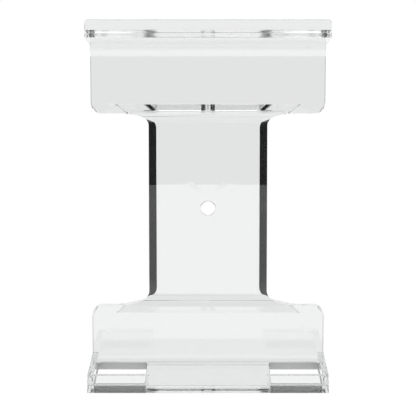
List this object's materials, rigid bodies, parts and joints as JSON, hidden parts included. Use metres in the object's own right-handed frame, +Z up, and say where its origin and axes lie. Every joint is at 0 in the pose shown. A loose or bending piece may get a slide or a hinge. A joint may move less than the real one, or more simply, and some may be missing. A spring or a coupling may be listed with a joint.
{
  "type": "headphone stand",
  "caption": "Clear acrylic headphone stand: an I-shaped upright with a lipped headband tray on top and a shelf with corner stops below.",
  "frame": {"origin": "centre of the bounding box at its bottom, on the surface that the shelf stands on", "axes": "+Z up; -Y is the front, the way the tray and the shelf reach; +X is to the right of someone facing the front"},
  "size_m": [0.1, 0.0504, 0.1547],
  "materials": {
    "clear_acrylic": "clear cast acrylic sheet, polished faces and edges, very slightly grey"
  },
  "bodies": {
    "root": {"bracket_body": "clear_acrylic", "tray_lip": "clear_acrylic", "left_shelf_cheek": "clear_acrylic", "right_shelf_cheek": "clear_acrylic", "left_shelf_lip": "clear_acrylic", "right_shelf_lip": "clear_acrylic"}
  },
  "joints": []
}
